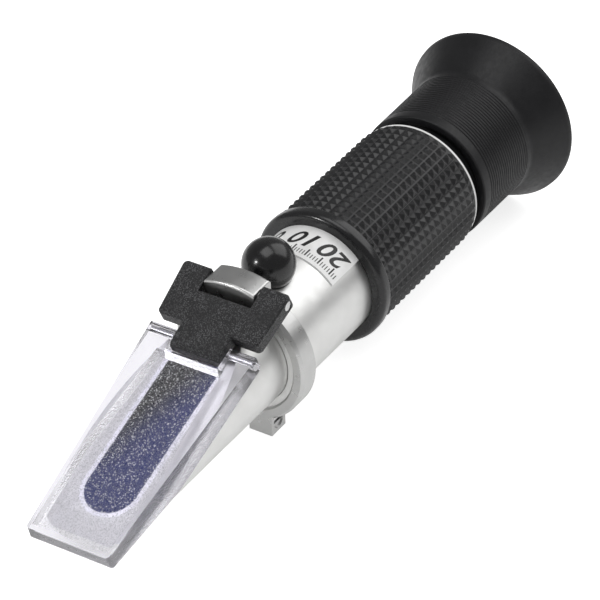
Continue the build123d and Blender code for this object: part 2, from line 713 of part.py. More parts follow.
# Stations inside the eyepiece
RING_FRONT = EYECUP_FRONT + RING_SETBACK
RING_REAR = EYECUP_JUNCTION - EYECUP_FLOOR_WIDTH - LOCK_RING_LIP
FLANGE_FRONT = RING_REAR - RING_FLANGE_WIDTH
SHOULDER_REAR = FLANGE_FRONT - END_PLAY
SHOULDER_FRONT = SHOULDER_REAR - BARREL_SHOULDER_WIDTH
BUSH_REAR = SHOULDER_FRONT - FOCUS_TRAVEL - BUSH_REAR_GAP
BARREL_FRONT = TUBE_REAR - BARREL_FRONT_REACH
NECK_REAR = RING_REAR + END_PLAY + LOCK_RING_WIDTH
GUIDE_PIN_STATION = (TUBE_REAR + BUSH_FLANGE_WIDTH + BUSH_REAR) / 2


def eyepiece_bush():
    flange_rear = TUBE_REAR + BUSH_FLANGE_WIDTH
    bush = turned(
        [
            (TUBE_REAR - BUSH_SPIGOT, BUSH_BORE / 2),
            (TUBE_REAR - BUSH_SPIGOT, TUBE_BORE / 2),
            (TUBE_REAR, TUBE_BORE / 2),
            (TUBE_REAR, BUSH_FLANGE_OD / 2),
            (flange_rear, BUSH_FLANGE_OD / 2),
            (flange_rear, BUSH_OD / 2),
            (BUSH_REAR, BUSH_OD / 2),
            (BUSH_REAR, BUSH_BORE / 2),
        ]
    )
    slot_half = FOCUS_TRAVEL + GUIDE_PIN_OD / 2 + END_PLAY
    slot = block(
        GUIDE_PIN_STATION - slot_half,
        GUIDE_PIN_STATION + slot_half,
        GUIDE_PIN_OD / 2 + LOOSE_FIT,
        -BUSH_OD,
        0,
    )
    return bush - slot


def eyepiece_barrel():
    neck = BARREL_OD / 2
    barrel = turned(
        [
            (BARREL_FRONT, BARREL_BORE / 2 - BARREL_LIP),
            (BARREL_FRONT, BARREL_OD / 2),
            (SHOULDER_FRONT, BARREL_OD / 2),
            (SHOULDER_FRONT, BARREL_SHOULDER_OD / 2),
            (SHOULDER_REAR, BARREL_SHOULDER_OD / 2),
            (SHOULDER_REAR, neck),
            (NECK_REAR, neck),
            (NECK_REAR, BARREL_BORE / 2),
            (BARREL_FRONT + BARREL_LIP, BARREL_BORE / 2),
            (BARREL_FRONT + BARREL_LIP, BARREL_BORE / 2 - BARREL_LIP),
        ]
    )
    return barrel - upright(GUIDE_PIN_STATION, GUIDE_PIN_OD / 2, -BUSH_OD, 0)


def guide_pin():
    return upright(GUIDE_PIN_STATION, GUIDE_PIN_OD / 2, -BUSH_OD / 2 + END_PLAY, -BARREL_BORE / 2)


def eye_lens_front():
    return NECK_REAR - EYE_LENS_THICKNESS


def field_lens():
    front = BARREL_FRONT + BARREL_LIP
    return convex_lens(front, front + FIELD_LENS_THICKNESS, BARREL_BORE / 2, LENS_CROWN)


def lens_spacer():
    inner = BARREL_BORE / 2 - BARREL_LIP / 2
    sag = lens_sag(BARREL_BORE / 2, LENS_CROWN, inner)
    front = BARREL_FRONT + BARREL_LIP + FIELD_LENS_THICKNESS - sag
    rear = eye_lens_front() + sag
    return ring(front, rear, inner, BARREL_BORE / 2)


def eye_lens():
    return convex_lens(eye_lens_front(), NECK_REAR, BARREL_BORE / 2, LENS_CROWN)


def eye_retaining_ring():
    start = RING_REAR + END_PLAY
    return turned(
        [
            (start, BARREL_OD / 2),
            (start, LOCK_RING_OD / 2),
            (NECK_REAR + LOCK_RING_LIP, LOCK_RING_OD / 2),
            (NECK_REAR + LOCK_RING_LIP, LOCK_RING_BORE / 2),
            (NECK_REAR, LOCK_RING_BORE / 2),
            (NECK_REAR, BARREL_OD / 2),
        ]
    )


def focusing_ring():
    return turned(
        [
            (RING_FRONT, RING_BORE / 2),
            (RING_FRONT, RING_OD / 2),
            (RING_REAR, RING_OD / 2),
            (RING_REAR, BARREL_OD / 2 + LOOSE_FIT),
            (FLANGE_FRONT, BARREL_OD / 2 + LOOSE_FIT),
            (FLANGE_FRONT, RING_BORE / 2),
        ]
    )


def eyecup_grooves(start, end):
    """Fine ring grooves between the smooth band and the flare, as a list of profile points."""
    points = []
    pitch = (end - start) / EYECUP_GROOVE_COUNT
    rise = (EYECUP_JUNCTION_OD - EYECUP_FRONT_OD) / 2 / SLEEVE_LENGTH
    for i in range(EYECUP_GROOVE_COUNT):
        x = start + i * pitch
        radius = EYECUP_FRONT_OD / 2 + (x - EYECUP_FRONT) * rise
        points += [(x, radius), (x + pitch / 4, radius - EYECUP_GROOVE_DEPTH), (x + pitch / 2, radius)]
    return points


def eyecup():
    front = EYECUP_FRONT_OD / 2
    junction = EYECUP_JUNCTION_OD / 2
    rim = EYECUP_RIM_OD / 2
    flare_end = EYECUP_RIM - EYECUP_RIM_WIDTH
    floor = EYECUP_JUNCTION - EYECUP_FLOOR_WIDTH
    mouth = LOCK_RING_OD / 2 + SIDE_GAP
    outer_points = [(EYECUP_FRONT, RING_OD / 2), (EYECUP_FRONT, front - EYECUP_EDGE_BEVEL)]
    outer_points.append((EYECUP_FRONT + EYECUP_EDGE_BEVEL, front))
    outer_points += eyecup_grooves(EYECUP_FRONT + EYECUP_BAND, EYECUP_JUNCTION - EYECUP_WALL)
    outer_points += [(EYECUP_JUNCTION, junction), (flare_end, rim), (EYECUP_RIM, rim)]
    inner_points = [
        (EYECUP_RIM, rim - EYECUP_WALL / 2),
        (flare_end, rim - EYECUP_WALL),
        (EYECUP_JUNCTION, mouth + EYECUP_WALL),
        (floor, mouth),
        (RING_REAR, mouth),
        (RING_REAR, RING_OD / 2),
    ]
    return turned(outer_points + inner_points)


PARTS = [
    main_tube,
    clamp_collar,
    clamp_screw,
    hinge_pin,
    prism_housing,
    measuring_prism,
    prism_seal,
    cover_plate,
    plate_pin,
    cover_bracket,
    label,
    grip_sleeve,
    grip_end_ring,
    screw_bush,
    calibration_screw,
    screw_cap,
    objective_cell,
    objective_lens,
    objective_retaining_ring,
    bimetal_strip,
    strip_anchor,
    strip_screw,
    baffle_ring,
    reticle_holder,
    reticle_disc,
    reticle_retaining_ring,
    eyepiece_bush,
    eyepiece_barrel,
    guide_pin,
    field_lens,
    lens_spacer,
    eye_lens,
    eye_retaining_ring,
    focusing_ring,
    eyecup,
]

# The origin of the finished part is the middle of its length, on the surface it lies on
TO_PART_FRAME = Pos(-(PLATE_TIP_X + EYECUP_RIM) / 2, 0, EYECUP_RIM_OD / 2)

os.makedirs("parts", exist_ok=True)
for make in PARTS:
    export_step(TO_PART_FRAME * make(), os.path.join("parts", make.__name__ + ".step"))
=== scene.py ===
import math

import bmesh
import bpy
from mathutils import Matrix, Vector


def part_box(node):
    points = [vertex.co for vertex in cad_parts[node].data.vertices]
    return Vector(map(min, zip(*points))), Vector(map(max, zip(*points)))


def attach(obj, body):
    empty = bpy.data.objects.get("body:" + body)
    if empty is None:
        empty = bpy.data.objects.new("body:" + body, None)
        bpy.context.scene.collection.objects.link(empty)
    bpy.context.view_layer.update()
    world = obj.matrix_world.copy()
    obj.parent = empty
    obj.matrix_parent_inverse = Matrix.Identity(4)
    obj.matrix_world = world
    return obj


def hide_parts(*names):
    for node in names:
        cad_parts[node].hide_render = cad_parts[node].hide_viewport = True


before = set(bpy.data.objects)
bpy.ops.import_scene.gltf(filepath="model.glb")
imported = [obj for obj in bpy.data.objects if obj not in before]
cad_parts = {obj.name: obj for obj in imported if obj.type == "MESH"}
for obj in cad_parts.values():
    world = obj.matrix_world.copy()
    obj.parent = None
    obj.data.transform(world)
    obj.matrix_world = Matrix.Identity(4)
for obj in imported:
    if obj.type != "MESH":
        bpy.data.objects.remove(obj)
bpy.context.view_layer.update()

bl_info = {
    "name": "Handheld refractometer looks",
    "version": (1, 0, 0),
    "blender": (4, 5, 0),
    "location": "View3D > Sidebar > Refractometer",
    "description": "Dresses the packed refractometer: metal, rubber, cover plate, prism, label and studio",
    "category": "Object",
}

MM = 0.001


def middle(node):
    low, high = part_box(node)
    return (low + high) / 2


AXIS_Z = middle("main_tube").z
TUBE_RADIUS = (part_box("main_tube")[1].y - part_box("main_tube")[0].y) / 2

# The cover plate's own plane: its slope and the top edge at its rear end
PLATE_SLOPE = math.radians(19.05)
PLATE_DOWN = Vector((-math.cos(PLATE_SLOPE), 0, -math.sin(PLATE_SLOPE)))
PLATE_NORMAL = Vector((-math.sin(PLATE_SLOPE), 0, math.cos(PLATE_SLOPE)))
PLATE_REAR = Vector((-0.0317, 0, 0.031327))
WELL_DEPTH = 1.6 * MM
PLATE_THICKNESS = 3.3 * MM

# The rubber grip: its play on the tube, its lip, and where its studs start along the tube
# and, in degrees, round it
GRIP_PLAY = 0.12 * MM
LIP_ROUNDING = 1.3 * MM
LIP_REAR_ROUNDING = 0.5 * MM
LIP_OVER_STUDS = 0.35 * MM
STUD_LEAD = 0.28 * MM
STUD_PHASE = 43.1


class MetalSettings(bpy.types.PropertyGroup):
    tube_color: bpy.props.FloatVectorProperty(
        name="Tube colour", description="Bead-blasted anodised tube and prism housing", subtype="COLOR",
        size=4, min=0, max=1, default=(0.76, 0.76, 0.75, 1))
    tube_roughness: bpy.props.FloatProperty(
        name="Tube roughness", description="How satin the tube is", subtype="FACTOR",
        min=0, max=1, default=0.40)
    casting_color: bpy.props.FloatVectorProperty(
        name="Casting colour", description="Plated clamp collar and lug", subtype="COLOR",
        size=4, min=0, max=1, default=(0.55, 0.55, 0.545, 1))
    casting_roughness: bpy.props.FloatProperty(
        name="Casting roughness", description="How satin the plated casting is", subtype="FACTOR",
        min=0, max=1, default=0.30)


class BracketSettings(bpy.types.PropertyGroup):
    coat_color: bpy.props.FloatVectorProperty(
        name="Powder coat", description="Black powder coat of the hinge bracket", subtype="COLOR",
        size=4, min=0, max=1, default=(0.008, 0.008, 0.009, 1))
    grain_size: bpy.props.FloatProperty(
        name="Grain size", description="Size of one grain of the powder coat", unit="LENGTH",
        min=0.00005, max=0.002, default=0.0002)


class GripSettings(bpy.types.PropertyGroup):
    rubber_color: bpy.props.FloatVectorProperty(
        name="Rubber colour", description="Matt rubber of the grip and eyecup", subtype="COLOR",
        size=4, min=0, max=1, default=(0.0075, 0.0075, 0.0085, 1))
    stud_rows: bpy.props.IntProperty(
        name="Stud rows", description="Rows of studs around the grip", min=8, max=120, default=44)
    stud_pitch: bpy.props.FloatProperty(
        name="Stud pitch", description="Length of one stud along the grip", unit="LENGTH",
        min=0.0005, max=0.01, default=0.00201)
    stud_height: bpy.props.FloatProperty(
        name="Stud height", description="Height of a stud above the valleys", unit="LENGTH",
        min=0.0001, max=0.002, default=0.00055)
    lip_length: bpy.props.FloatProperty(
        name="Lip length", description="Length of the smooth front lip", unit="LENGTH",
        min=0.001, max=0.01, default=0.003)


class EyecupSettings(bpy.types.PropertyGroup):
    ring_count: bpy.props.IntProperty(
        name="Rings", description="Moulded rings on the sleeve", min=4, max=40, default=20)
    ring_depth: bpy.props.FloatProperty(
        name="Ring depth", description="Depth of the grooves between the rings", unit="LENGTH",
        min=0.00002, max=0.001, default=0.0002)


class LabelSettings(bpy.types.PropertyGroup):
    film_color: bpy.props.FloatVectorProperty(
        name="Film colour", description="White film of the label", subtype="COLOR",
        size=4, min=0, max=1, default=(0.86, 0.86, 0.85, 1))
    figure_height: bpy.props.FloatProperty(
        name="Figure height", description="Height of the printed figures", unit="LENGTH",
        min=0.001, max=0.01, default=0.0044)


class PlateSettings(bpy.types.PropertyGroup):
    acrylic_tint: bpy.props.FloatVectorProperty(
        name="Acrylic tint", description="Tint of the clear moulded plate", subtype="COLOR",
        size=4, min=0, max=1, default=(0.93, 0.92, 0.97, 1))
    # The bright grains on the frosted floor are painted glints, standing in for reflections of the lights
    glint_share: bpy.props.FloatProperty(
        name="Frost share", description="Share of bright grains on the frosted floor", subtype="FACTOR",
        min=0, max=1, default=0.20)
    prism_blue: bpy.props.FloatVectorProperty(
        name="Prism blue", description="Blue of the prism near its front end", subtype="COLOR",
        size=4, min=0, max=1, default=(0.005, 0.012, 0.10, 1))


class StageSettings(bpy.types.PropertyGroup):
    floor_color: bpy.props.FloatVectorProperty(
        name="Floor colour", description="Plain pale floor", subtype="COLOR",
        size=4, min=0, max=1, default=(0.9, 0.9, 0.9, 1))
    floor_size: bpy.props.FloatProperty(
        name="Floor size", description="Side of the square floor", unit="LENGTH", min=1, max=50, default=12)


# Node helpers


class Graph:
    """Short calls that add and join the nodes of one tree."""

    def __init__(self, tree):
        self.nodes = tree.nodes
        self.links = tree.links

    def add(self, kind, inputs=None, **settings):
        node = self.nodes.new("ShaderNode" + kind)
        for name, value in settings.items():
            setattr(node, name, value)
        for key, value in (inputs or {}).items():
            self.feed(node.inputs[key], value)
        return node

    def feed(self, socket, value):
        if isinstance(value, bpy.types.NodeSocket):
            self.links.new(value, socket)
        else:
            socket.default_value = value

    def math(self, operation, first, second=0.0, clamp=False):
        return self.add("Math", {0: first, 1: second}, operation=operation, use_clamp=clamp).outputs[0]

    def ramp(self, value, low, high, out_low=0.0, out_high=1.0, smooth=False):
        kind = "SMOOTHSTEP" if smooth else "LINEAR"
        keys = {"Value": value, "From Min": low, "From Max": high, "To Min": out_low, "To Max": out_high}
        return self.add("MapRange", keys, interpolation_type=kind).outputs[0]

    def blend(self, factor, first, second):
        return self.add("Mix", {0: factor, 6: first, 7: second}, data_type="RGBA").outputs[2]

    def place(self):
        return self.add("TexCoord").outputs["Object"]

    def along(self, direction, offset=0.0):
        dot = self.add("VectorMath", {0: self.place(), 1: direction}, operation="DOT_PRODUCT")
        return self.math("SUBTRACT", dot.outputs["Value"], offset)


def effect_group(name, inputs, outputs, build):
    """Node group with named float inputs and outputs, filled by build(graph, input_node, output_node)."""
    group = bpy.data.node_groups.new(name, "ShaderNodeTree")
    for label, default in inputs:
        socket = group.interface.new_socket(name=label, in_out="INPUT", socket_type="NodeSocketFloat")
        socket.default_value = default
    for label in outputs:
        group.interface.new_socket(name=label, in_out="OUTPUT", socket_type="NodeSocketFloat")
    source = group.nodes.new("NodeGroupInput")
    target = group.nodes.new("NodeGroupOutput")
    build(Graph(group), source.outputs, target.inputs)
    return group


def build_grain(graph, given, result):
    noise = graph.add("TexNoise", {"Vector": graph.place(), "Scale": given["Scale"], "Detail": 3.0})
    low = graph.math("SUBTRACT", 0.5, given["Spread"])
    high = graph.math("ADD", 0.5, given["Spread"])
    graph.feed(result["Height"], graph.ramp(noise.outputs[0], low, high))


def build_mottle(graph, given, result):
    noise = graph.add("TexNoise", {"Vector": graph.place(), "Scale": given["Scale"], "Detail": 5.0})
    graph.feed(result["Value"], graph.ramp(noise.outputs[0], 0.3, 0.7, given["Low"], given["High"]))


def build_speckle(graph, given, result):
    cells = graph.add("TexVoronoi", {"Vector": graph.place(), "Scale": given["Scale"]})
    pick = graph.add("SeparateColor", {0: cells.outputs["Color"]}).outputs[0]
    chosen = graph.math("LESS_THAN", pick, given["Share"])
    dot = graph.ramp(cells.outputs["Distance"], given["Size"], 0.0)
    graph.feed(result["Mask"], graph.math("MULTIPLY", chosen, dot))


def effect_groups():
    """The shared shader effects, built once and kept by name."""
    recipes = {
        "surface_grain": ([("Scale", 2000.0), ("Spread", 0.2)], ["Height"], build_grain),
        "soft_mottle": ([("Scale", 200.0), ("Low", 0.0), ("High", 1.0)], ["Value"], build_mottle),
        "bright_speckle": ([("Scale", 2000.0), ("Share", 0.3), ("Size", 0.5)], ["Mask"], build_speckle),
    }
    for name, (inputs, outputs, build) in recipes.items():
        if name not in bpy.data.node_groups:
            effect_group(name, inputs, outputs, build)


def use_effect(graph, name, **values):
    effect_groups()
    node = graph.add("Group", node_tree=bpy.data.node_groups[name])
    for key, value in values.items():
        graph.feed(node.inputs[key], value)
    return node.outputs[0]


def add_bump(graph, shader, height, strength, distance):
    bump = graph.add("Bump", {"Height": height, "Strength": strength, "Distance": distance})
    graph.feed(shader.inputs["Normal"], bump.outputs[0])


def new_material(name, **sockets):
    """Material with one Principled shader whose plain sockets are set, its graph and its shader."""
    material = bpy.data.materials.new(name)
    material.use_nodes = True
    material.node_tree.nodes.clear()
    graph = Graph(material.node_tree)
    shader = graph.add("BsdfPrincipled")
    output = graph.add("OutputMaterial")
    graph.links.new(shader.outputs[0], output.inputs[0])
    for key, value in sockets.items():
        shader.inputs[key.replace("_", " ")].default_value = value
    return material, graph, shader


def satin_metal(name, color, roughness, grain_scale, grain_strength, metallic=1.0):
    material, graph, shader = new_material(name, Metallic=metallic)
    cloud = use_effect(graph, "soft_mottle", Scale=130.0, Low=0.0, High=1.0)
    darker = [0.93 * c for c in color[:3]] + [1]
    graph.feed(shader.inputs["Base Color"], graph.blend(cloud, color, darker))
    rough = use_effect(graph, "soft_mottle", Scale=420.0, Low=roughness - 0.05, High=roughness + 0.06)
    graph.feed(shader.inputs["Roughness"], rough)
    grain = use_effect(graph, "surface_grain", Scale=grain_scale, Spread=0.25)
    add_bump(graph, shader, grain, grain_strength, 0.00002)
    return material


def turned_metal(name, color, roughness, ring_scale=9000.0):
    """Metal or plastic turned on a lathe, with fine rings about the axis."""
    material, graph, shader = new_material(name, Metallic=1.0)
    wave = graph.add("TexWave", {"Vector": graph.place(), "Scale": ring_scale, "Distortion": 0.6})
    rough = graph.ramp(wave.outputs[1], 0, 1, roughness - 0.05, roughness + 0.08)
    graph.feed(shader.inputs["Roughness"], rough)
    cloud = use_effect(graph, "soft_mottle", Scale=500.0, Low=0.0, High=1.0)
    graph.feed(shader.inputs["Base Color"], graph.blend(cloud, color, [0.85 * c for c in color[:3]] + [1]))
    add_bump(graph, shader, wave.outputs[1], 0.15, 0.00001)
    return material


def moulded(name, color, roughness, grain_scale, grain_strength, spec=0.5, coat=0.0):
    material, graph, shader = new_material(
        name, Specular_IOR_Level=spec, Coat_Weight=coat, Coat_Roughness=0.12)
    cloud = use_effect(graph, "soft_mottle", Scale=300.0, Low=0.0, High=1.0)
    paler = [min(1.0, 1.3 * c + 0.001) for c in color[:3]] + [1]
    graph.feed(shader.inputs["Base Color"], graph.blend(cloud, color, paler))
    rough = use_effect(graph, "soft_mottle", Scale=900.0, Low=roughness - 0.06, High=roughness + 0.07)
    graph.feed(shader.inputs["Roughness"], rough)
    grain = use_effect(graph, "surface_grain", Scale=grain_scale, Spread=0.22)
    add_bump(graph, shader, grain, grain_strength, 0.00003)
    return material


def dress(node, material):
    """Gives a CAD node its finish, leaving its mesh as packed."""
    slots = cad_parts[node].data.materials
    slots.clear()
    slots.append(material)


# Mesh helpers


def finish_piece(name, mesh_edit, body, materials, replaced, sharp):
    """Turns a bmesh into a named object that rides on a body, smooth up to the sharp angle or flat."""
    mesh = bpy.data.meshes.new(name)
    bmesh.ops.recalc_face_normals(mesh_edit, faces=mesh_edit.faces)
    mesh_edit.to_mesh(mesh)
    mesh_edit.free()
    piece = bpy.data.objects.new(name, mesh)
    bpy.context.scene.collection.objects.link(piece)
    for material in materials:
        mesh.materials.append(material)
    if sharp is None:
        mesh.shade_flat()
    else:
        mesh.shade_smooth()
        mesh.set_sharp_from_angle(angle=math.radians(sharp))
    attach(piece, body)
    if replaced:
        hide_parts(*replaced)


def on_tube(x, radius, angle):
    """Point at a station, radius and angle from the top towards the near side."""
    return Vector((x, -radius * math.sin(angle), AXIS_Z + radius * math.cos(angle)))


def spin_profile(edit, profile, segments, material_index=0, close=True):
    """Faces of revolution about the tube's axis from (station, radius) points in metres."""
    turns = [2 * math.pi * i / segments for i in range(segments)]
    rings = []
    for x, radius in profile:
        rings.append([edit.verts.new(on_tube(x, radius, turn)) for turn in turns])
    count = len(rings) if close else len(rings) - 1
    for k in range(count):
        first, second = rings[k], rings[(k + 1) % len(rings)]
        for i in range(segments):
            j = (i + 1) % segments
            face = edit.faces.new((first[i], first[j], second[j], second[i]))
            face.material_index = material_index


def arc_points(centre, radius, start, end, steps):
    """Points of an arc in (station, radius) space, angles in degrees."""
    points = []
    for i in range(steps + 1):
        angle = math.radians(start + (end - start) * i / steps)
        points.append((centre[0] + radius * math.cos(angle), centre[1] + radius * math.sin(angle)))
    return points


# Operators


class BuildOperator:
    bl_options = {"REGISTER", "UNDO"}


class REFRACTO_OT_metal(BuildOperator, bpy.types.Operator):
    """Finish the tube, the prism housing, the clamp collar and the pins"""

    bl_idname = "refracto.metal"
    bl_label = "Metal parts"

    def execute(self, context):
        given = context.scene.refracto_metal
        tube = satin_metal("satin_tube", given.tube_color, given.tube_roughness, 2600.0, 0.25)
        for node in ("main_tube", "prism_housing"):
            dress(node, tube)
        dress("clamp_collar", satin_metal(
            "plated_casting", given.casting_color, given.casting_roughness, 1500.0, 0.3))
        steel = turned_metal("drawn_steel", (0.62, 0.62, 0.62, 1), 0.22)
        for node in ("clamp_screw", "hinge_pin", "plate_pin", "strip_screw", "guide_pin"):
            dress(node, steel)
        brass = turned_metal("turned_brass", (0.72, 0.54, 0.26, 1), 0.28)
        for node in ("screw_bush", "calibration_screw", "strip_anchor"):
            dress(node, brass)
        dress("bimetal_strip", turned_metal("rolled_bimetal", (0.50, 0.47, 0.42, 1), 0.32, 3000.0))
        dress("grip_end_ring", moulded("white_ring", (0.80, 0.80, 0.79, 1), 0.35, 1500.0, 0.1))
        return {"FINISHED"}


class REFRACTO_OT_bracket(BuildOperator, bpy.types.Operator):
    """Coat the hinge bracket with its black powder coat, its sparkle painted as pale specks in the colour"""

    bl_idname = "refracto.bracket"
    bl_label = "Hinge bracket"

    def execute(self, context):
        given = context.scene.refracto_bracket
        material, graph, shader = new_material("powder_coat", Specular_IOR_Level=0.45)
        scale = 1.0 / given.grain_size
        # Pale specks painted into the base colour stand in for the glints of the coat's grains (painted
        # glints)
        painted_glints = use_effect(graph, "bright_speckle", Scale=scale, Share=0.40, Size=0.75)
        cloud = use_effect(graph, "soft_mottle", Scale=260.0, Low=0.2, High=1.0)
        painted_glints = graph.math("MULTIPLY", painted_glints, cloud)
        graph.feed(shader.inputs["Base Color"], graph.blend(painted_glints, given.coat_color, (0.22, 0.22, 0.23, 1)))
        rough = use_effect(graph, "soft_mottle", Scale=2400.0, Low=0.30, High=0.62)
        graph.feed(shader.inputs["Roughness"], rough)
        grain = use_effect(graph, "surface_grain", Scale=scale, Spread=0.25)
        add_bump(graph, shader, grain, 0.7, 0.00006)
        dress("cover_bracket", material)
        return {"FINISHED"}


class REFRACTO_OT_grip(BuildOperator, bpy.types.Operator):
    """Mould the rubber grip with its glossy lip and rows of pyramid studs"""

    bl_idname = "refracto.grip"
    bl_label = "Rubber grip"

    def execute(self, context):
        given = context.scene.refracto_grip
        low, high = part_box("grip_sleeve")
        lip_radius = (high.z - low.z) / 2
        bore = TUBE_RADIUS + GRIP_PLAY
        lip_end = low.x + given.lip_length
        crest = lip_radius - LIP_OVER_STUDS
        valley = crest - given.stud_height
        gloss = moulded("grip_lip_rubber", given.rubber_color, 0.24, 1800.0, 0.06, 0.4, 0.2)
        matt = moulded("grip_rubber", given.rubber_color, 0.36, 2600.0, 0.35, 0.5)
        edit = bmesh.new()
        front, rear = LIP_ROUNDING, LIP_REAR_ROUNDING
        lip = [(low.x, bore), (low.x, lip_radius - front)]
        lip += arc_points((low.x + front, lip_radius - front), front, 180, 90, 7)[1:]
        lip += arc_points((lip_end - rear, lip_radius - rear), rear, 90, 0, 5)
        lip += [(lip_end, valley), (lip_end, bore)]
        spin_profile(edit, lip, 132)
        edit.normal_update()
        pitch = given.stud_pitch
        step = 2 * math.pi / given.stud_rows
        phase = math.radians(STUD_PHASE)
        start = lip_end - STUD_LEAD
        columns = int(math.ceil((high.x - start) / pitch))
        for row in range(given.stud_rows):
            angles = (phase + row * step, phase + (row + 1) * step)
            for column in range(columns):
                x0 = max(start + column * pitch, lip_end)
                x1 = min(start + (column + 1) * pitch, high.x)
                self.add_stud(edit, (x0, x1), angles, valley, crest, pitch)
        bmesh.ops.remove_doubles(edit, verts=edit.verts, dist=0.000002)
        inside = [(high.x, valley), (high.x, bore), (lip_end, bore)]
        spin_profile(edit, inside, given.stud_rows * 3, 1, False)
        finish_piece("studded_grip", edit, "housing", [gloss, matt], ["grip_sleeve"], 28.0)
        self.add_seams(lip_end, high.x, valley, matt)
        return {"FINISHED"}

    def add_stud(self, edit, stations, turn, valley, crest, pitch):
        """One pyramid stud between two stations and two angles, with a small flat top."""
        x0, x1 = stations
        a0, a1 = turn
        wide = x1 - x0
        rise = (crest - valley) * min(1.0, wide / pitch)
        foot_inset = 0.075
        top_inset = 0.42
        levels = [(0.0, valley), (foot_inset, valley), (top_inset, valley + rise)]
        rings = []
        for share, radius in levels:
            xs = (x0 + share * wide, x1 - share * wide)
            angles = (a0 + share * (a1 - a0), a1 - share * (a1 - a0))
            corners = ((xs[0], angles[0]), (xs[1], angles[0]), (xs[1], angles[1]), (xs[0], angles[1]))
            rings.append([edit.verts.new(on_tube(x, radius, angle)) for x, angle in corners])
        for k in range(2):
            for i in range(4):
                j = (i + 1) % 4
                face = edit.faces.new((rings[k][i], rings[k][j], rings[k + 1][j], rings[k + 1][i]))
                face.material_index = 1
        edit.faces.new(rings[2]).material_index = 1

    def add_seams(self, x0, x1, valley, material):
        """The two mould lines along the grip, each a low ridge in a valley."""
        edit = bmesh.new()
        foot = valley - 0.1 * MM
        ridge = valley + 0.17 * MM
        half_turn = 0.0045
        section = ((foot, -half_turn), (ridge, 0.0), (foot, half_turn))
        for degrees in (STUD_PHASE, STUD_PHASE + 180):
            angle = math.radians(degrees)
            ends = [[edit.verts.new(on_tube(x, r, angle + a)) for r, a in section] for x in (x0, x1)]
            for i in range(3):
                j = (i + 1) % 3
                edit.faces.new((ends[0][i], ends[0][j], ends[1][j], ends[1][i]))
            edit.faces.new(ends[0])
            edit.faces.new(ends[1])
        finish_piece("grip_mould_lines", edit, "housing", [material], (), None)


class REFRACTO_OT_eyecup(BuildOperator, bpy.types.Operator):
    """Mould the eyecup with its smooth band, ringed sleeve and flare"""

    bl_idname = "refracto.eyecup"
    bl_label = "Eyecup"

    def execute(self, context):
        given = context.scene.refracto_eyecup
        rubber = context.scene.refracto_grip.rubber_color
        low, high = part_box("eyecup")
        rim = (high.z - low.z) / 2
        front_radius = 14.8 * MM
        junction_radius = 14.95 * MM
        junction = high.x - 9.4 * MM
        ring_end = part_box("focusing_ring")[1]
        ring_radius = ring_end.z - AXIS_Z
        band_end = low.x + 2.6 * MM
        slope = (junction_radius - front_radius) / (junction - low.x)
        edge = 0.35 * MM
        profile = [(low.x, ring_radius), (low.x, front_radius - edge)]
        profile += arc_points((low.x + edge, front_radius - edge), edge, 180, 90, 5)[1:]
        profile.append((band_end - 0.15 * MM, front_radius + 2.45 * MM * slope))
        rings_end = junction - 1.2 * MM
        pitch = (rings_end - band_end) / given.ring_count
        groove = ((0.0, 0.8), (0.12, 1.0), (0.24, 0.8), (0.40, 0.12), (0.6, 0.0), (0.84, 0.12))
        for i in range(given.ring_count):
            x = band_end + i * pitch
            radius = front_radius + (x - low.x) * slope
            for share, sink in groove:
                profile.append((x + share * pitch, radius - sink * given.ring_depth))
        profile.append((rings_end, junction_radius - 0.1 * MM))
        profile.append((junction - 0.5 * MM, junction_radius - 0.02 * MM))
        profile.append((junction - 0.1 * MM, junction_radius + 0.02 * MM))
        flare = Vector((high.x - 1.0 * MM - junction, rim - junction_radius)).normalized()
        profile.append((junction + 0.6 * MM * flare.x, junction_radius + 0.6 * MM * flare.y))
        profile.append((high.x - 1.5 * MM, rim - 0.5 * MM * flare.y / flare.x))
        profile.append((high.x - 1.05 * MM, rim - 0.06 * MM))
        rim_edge = 0.45 * MM
        profile += arc_points((high.x - rim_edge, rim - rim_edge), rim_edge, 105, 0, 6)
        profile.append((high.x, rim - 0.6 * MM))
        profile.append((high.x - 0.35 * MM, rim - 0.95 * MM))
        profile.append((high.x - 1.2 * MM, rim - 1.3 * MM))
        mouth = 11.8 * MM
        profile.append((junction, mouth + 1.2 * MM))
        profile.append((junction - 0.8 * MM, mouth + 0.45 * MM))
        profile.append((junction - 1.5 * MM, mouth))
        profile.append((ring_end.x, mouth))
        profile.append((ring_end.x, ring_radius))
        edit = bmesh.new()
        spin_profile(edit, profile, 144)
        material = moulded("eyecup_rubber", rubber, 0.42, 2600.0, 0.22, 0.3)
        finish_piece("moulded_eyecup", edit, "focus_ring", [material], ["eyecup"], 32.0)
        plastic = moulded("black_plastic", (0.014, 0.014, 0.015, 1), 0.40, 2600.0, 0.2)
        for node in ("focusing_ring", "eye_retaining_ring", "eyepiece_bush", "eyepiece_barrel"):
            dress(node, plastic)
        return {"FINISHED"}


class REFRACTO_OT_cap(BuildOperator, bpy.types.Operator):
    """Finish the glossy rubber ball over the calibration screw"""

    bl_idname = "refracto.cap"
    bl_label = "Screw cap"

    def execute(self, context):
        dress("screw_cap", moulded("gloss_rubber", (0.004, 0.004, 0.0045, 1), 0.24, 1400.0, 0.05, 0.4, 0.3))
        return {"FINISHED"}


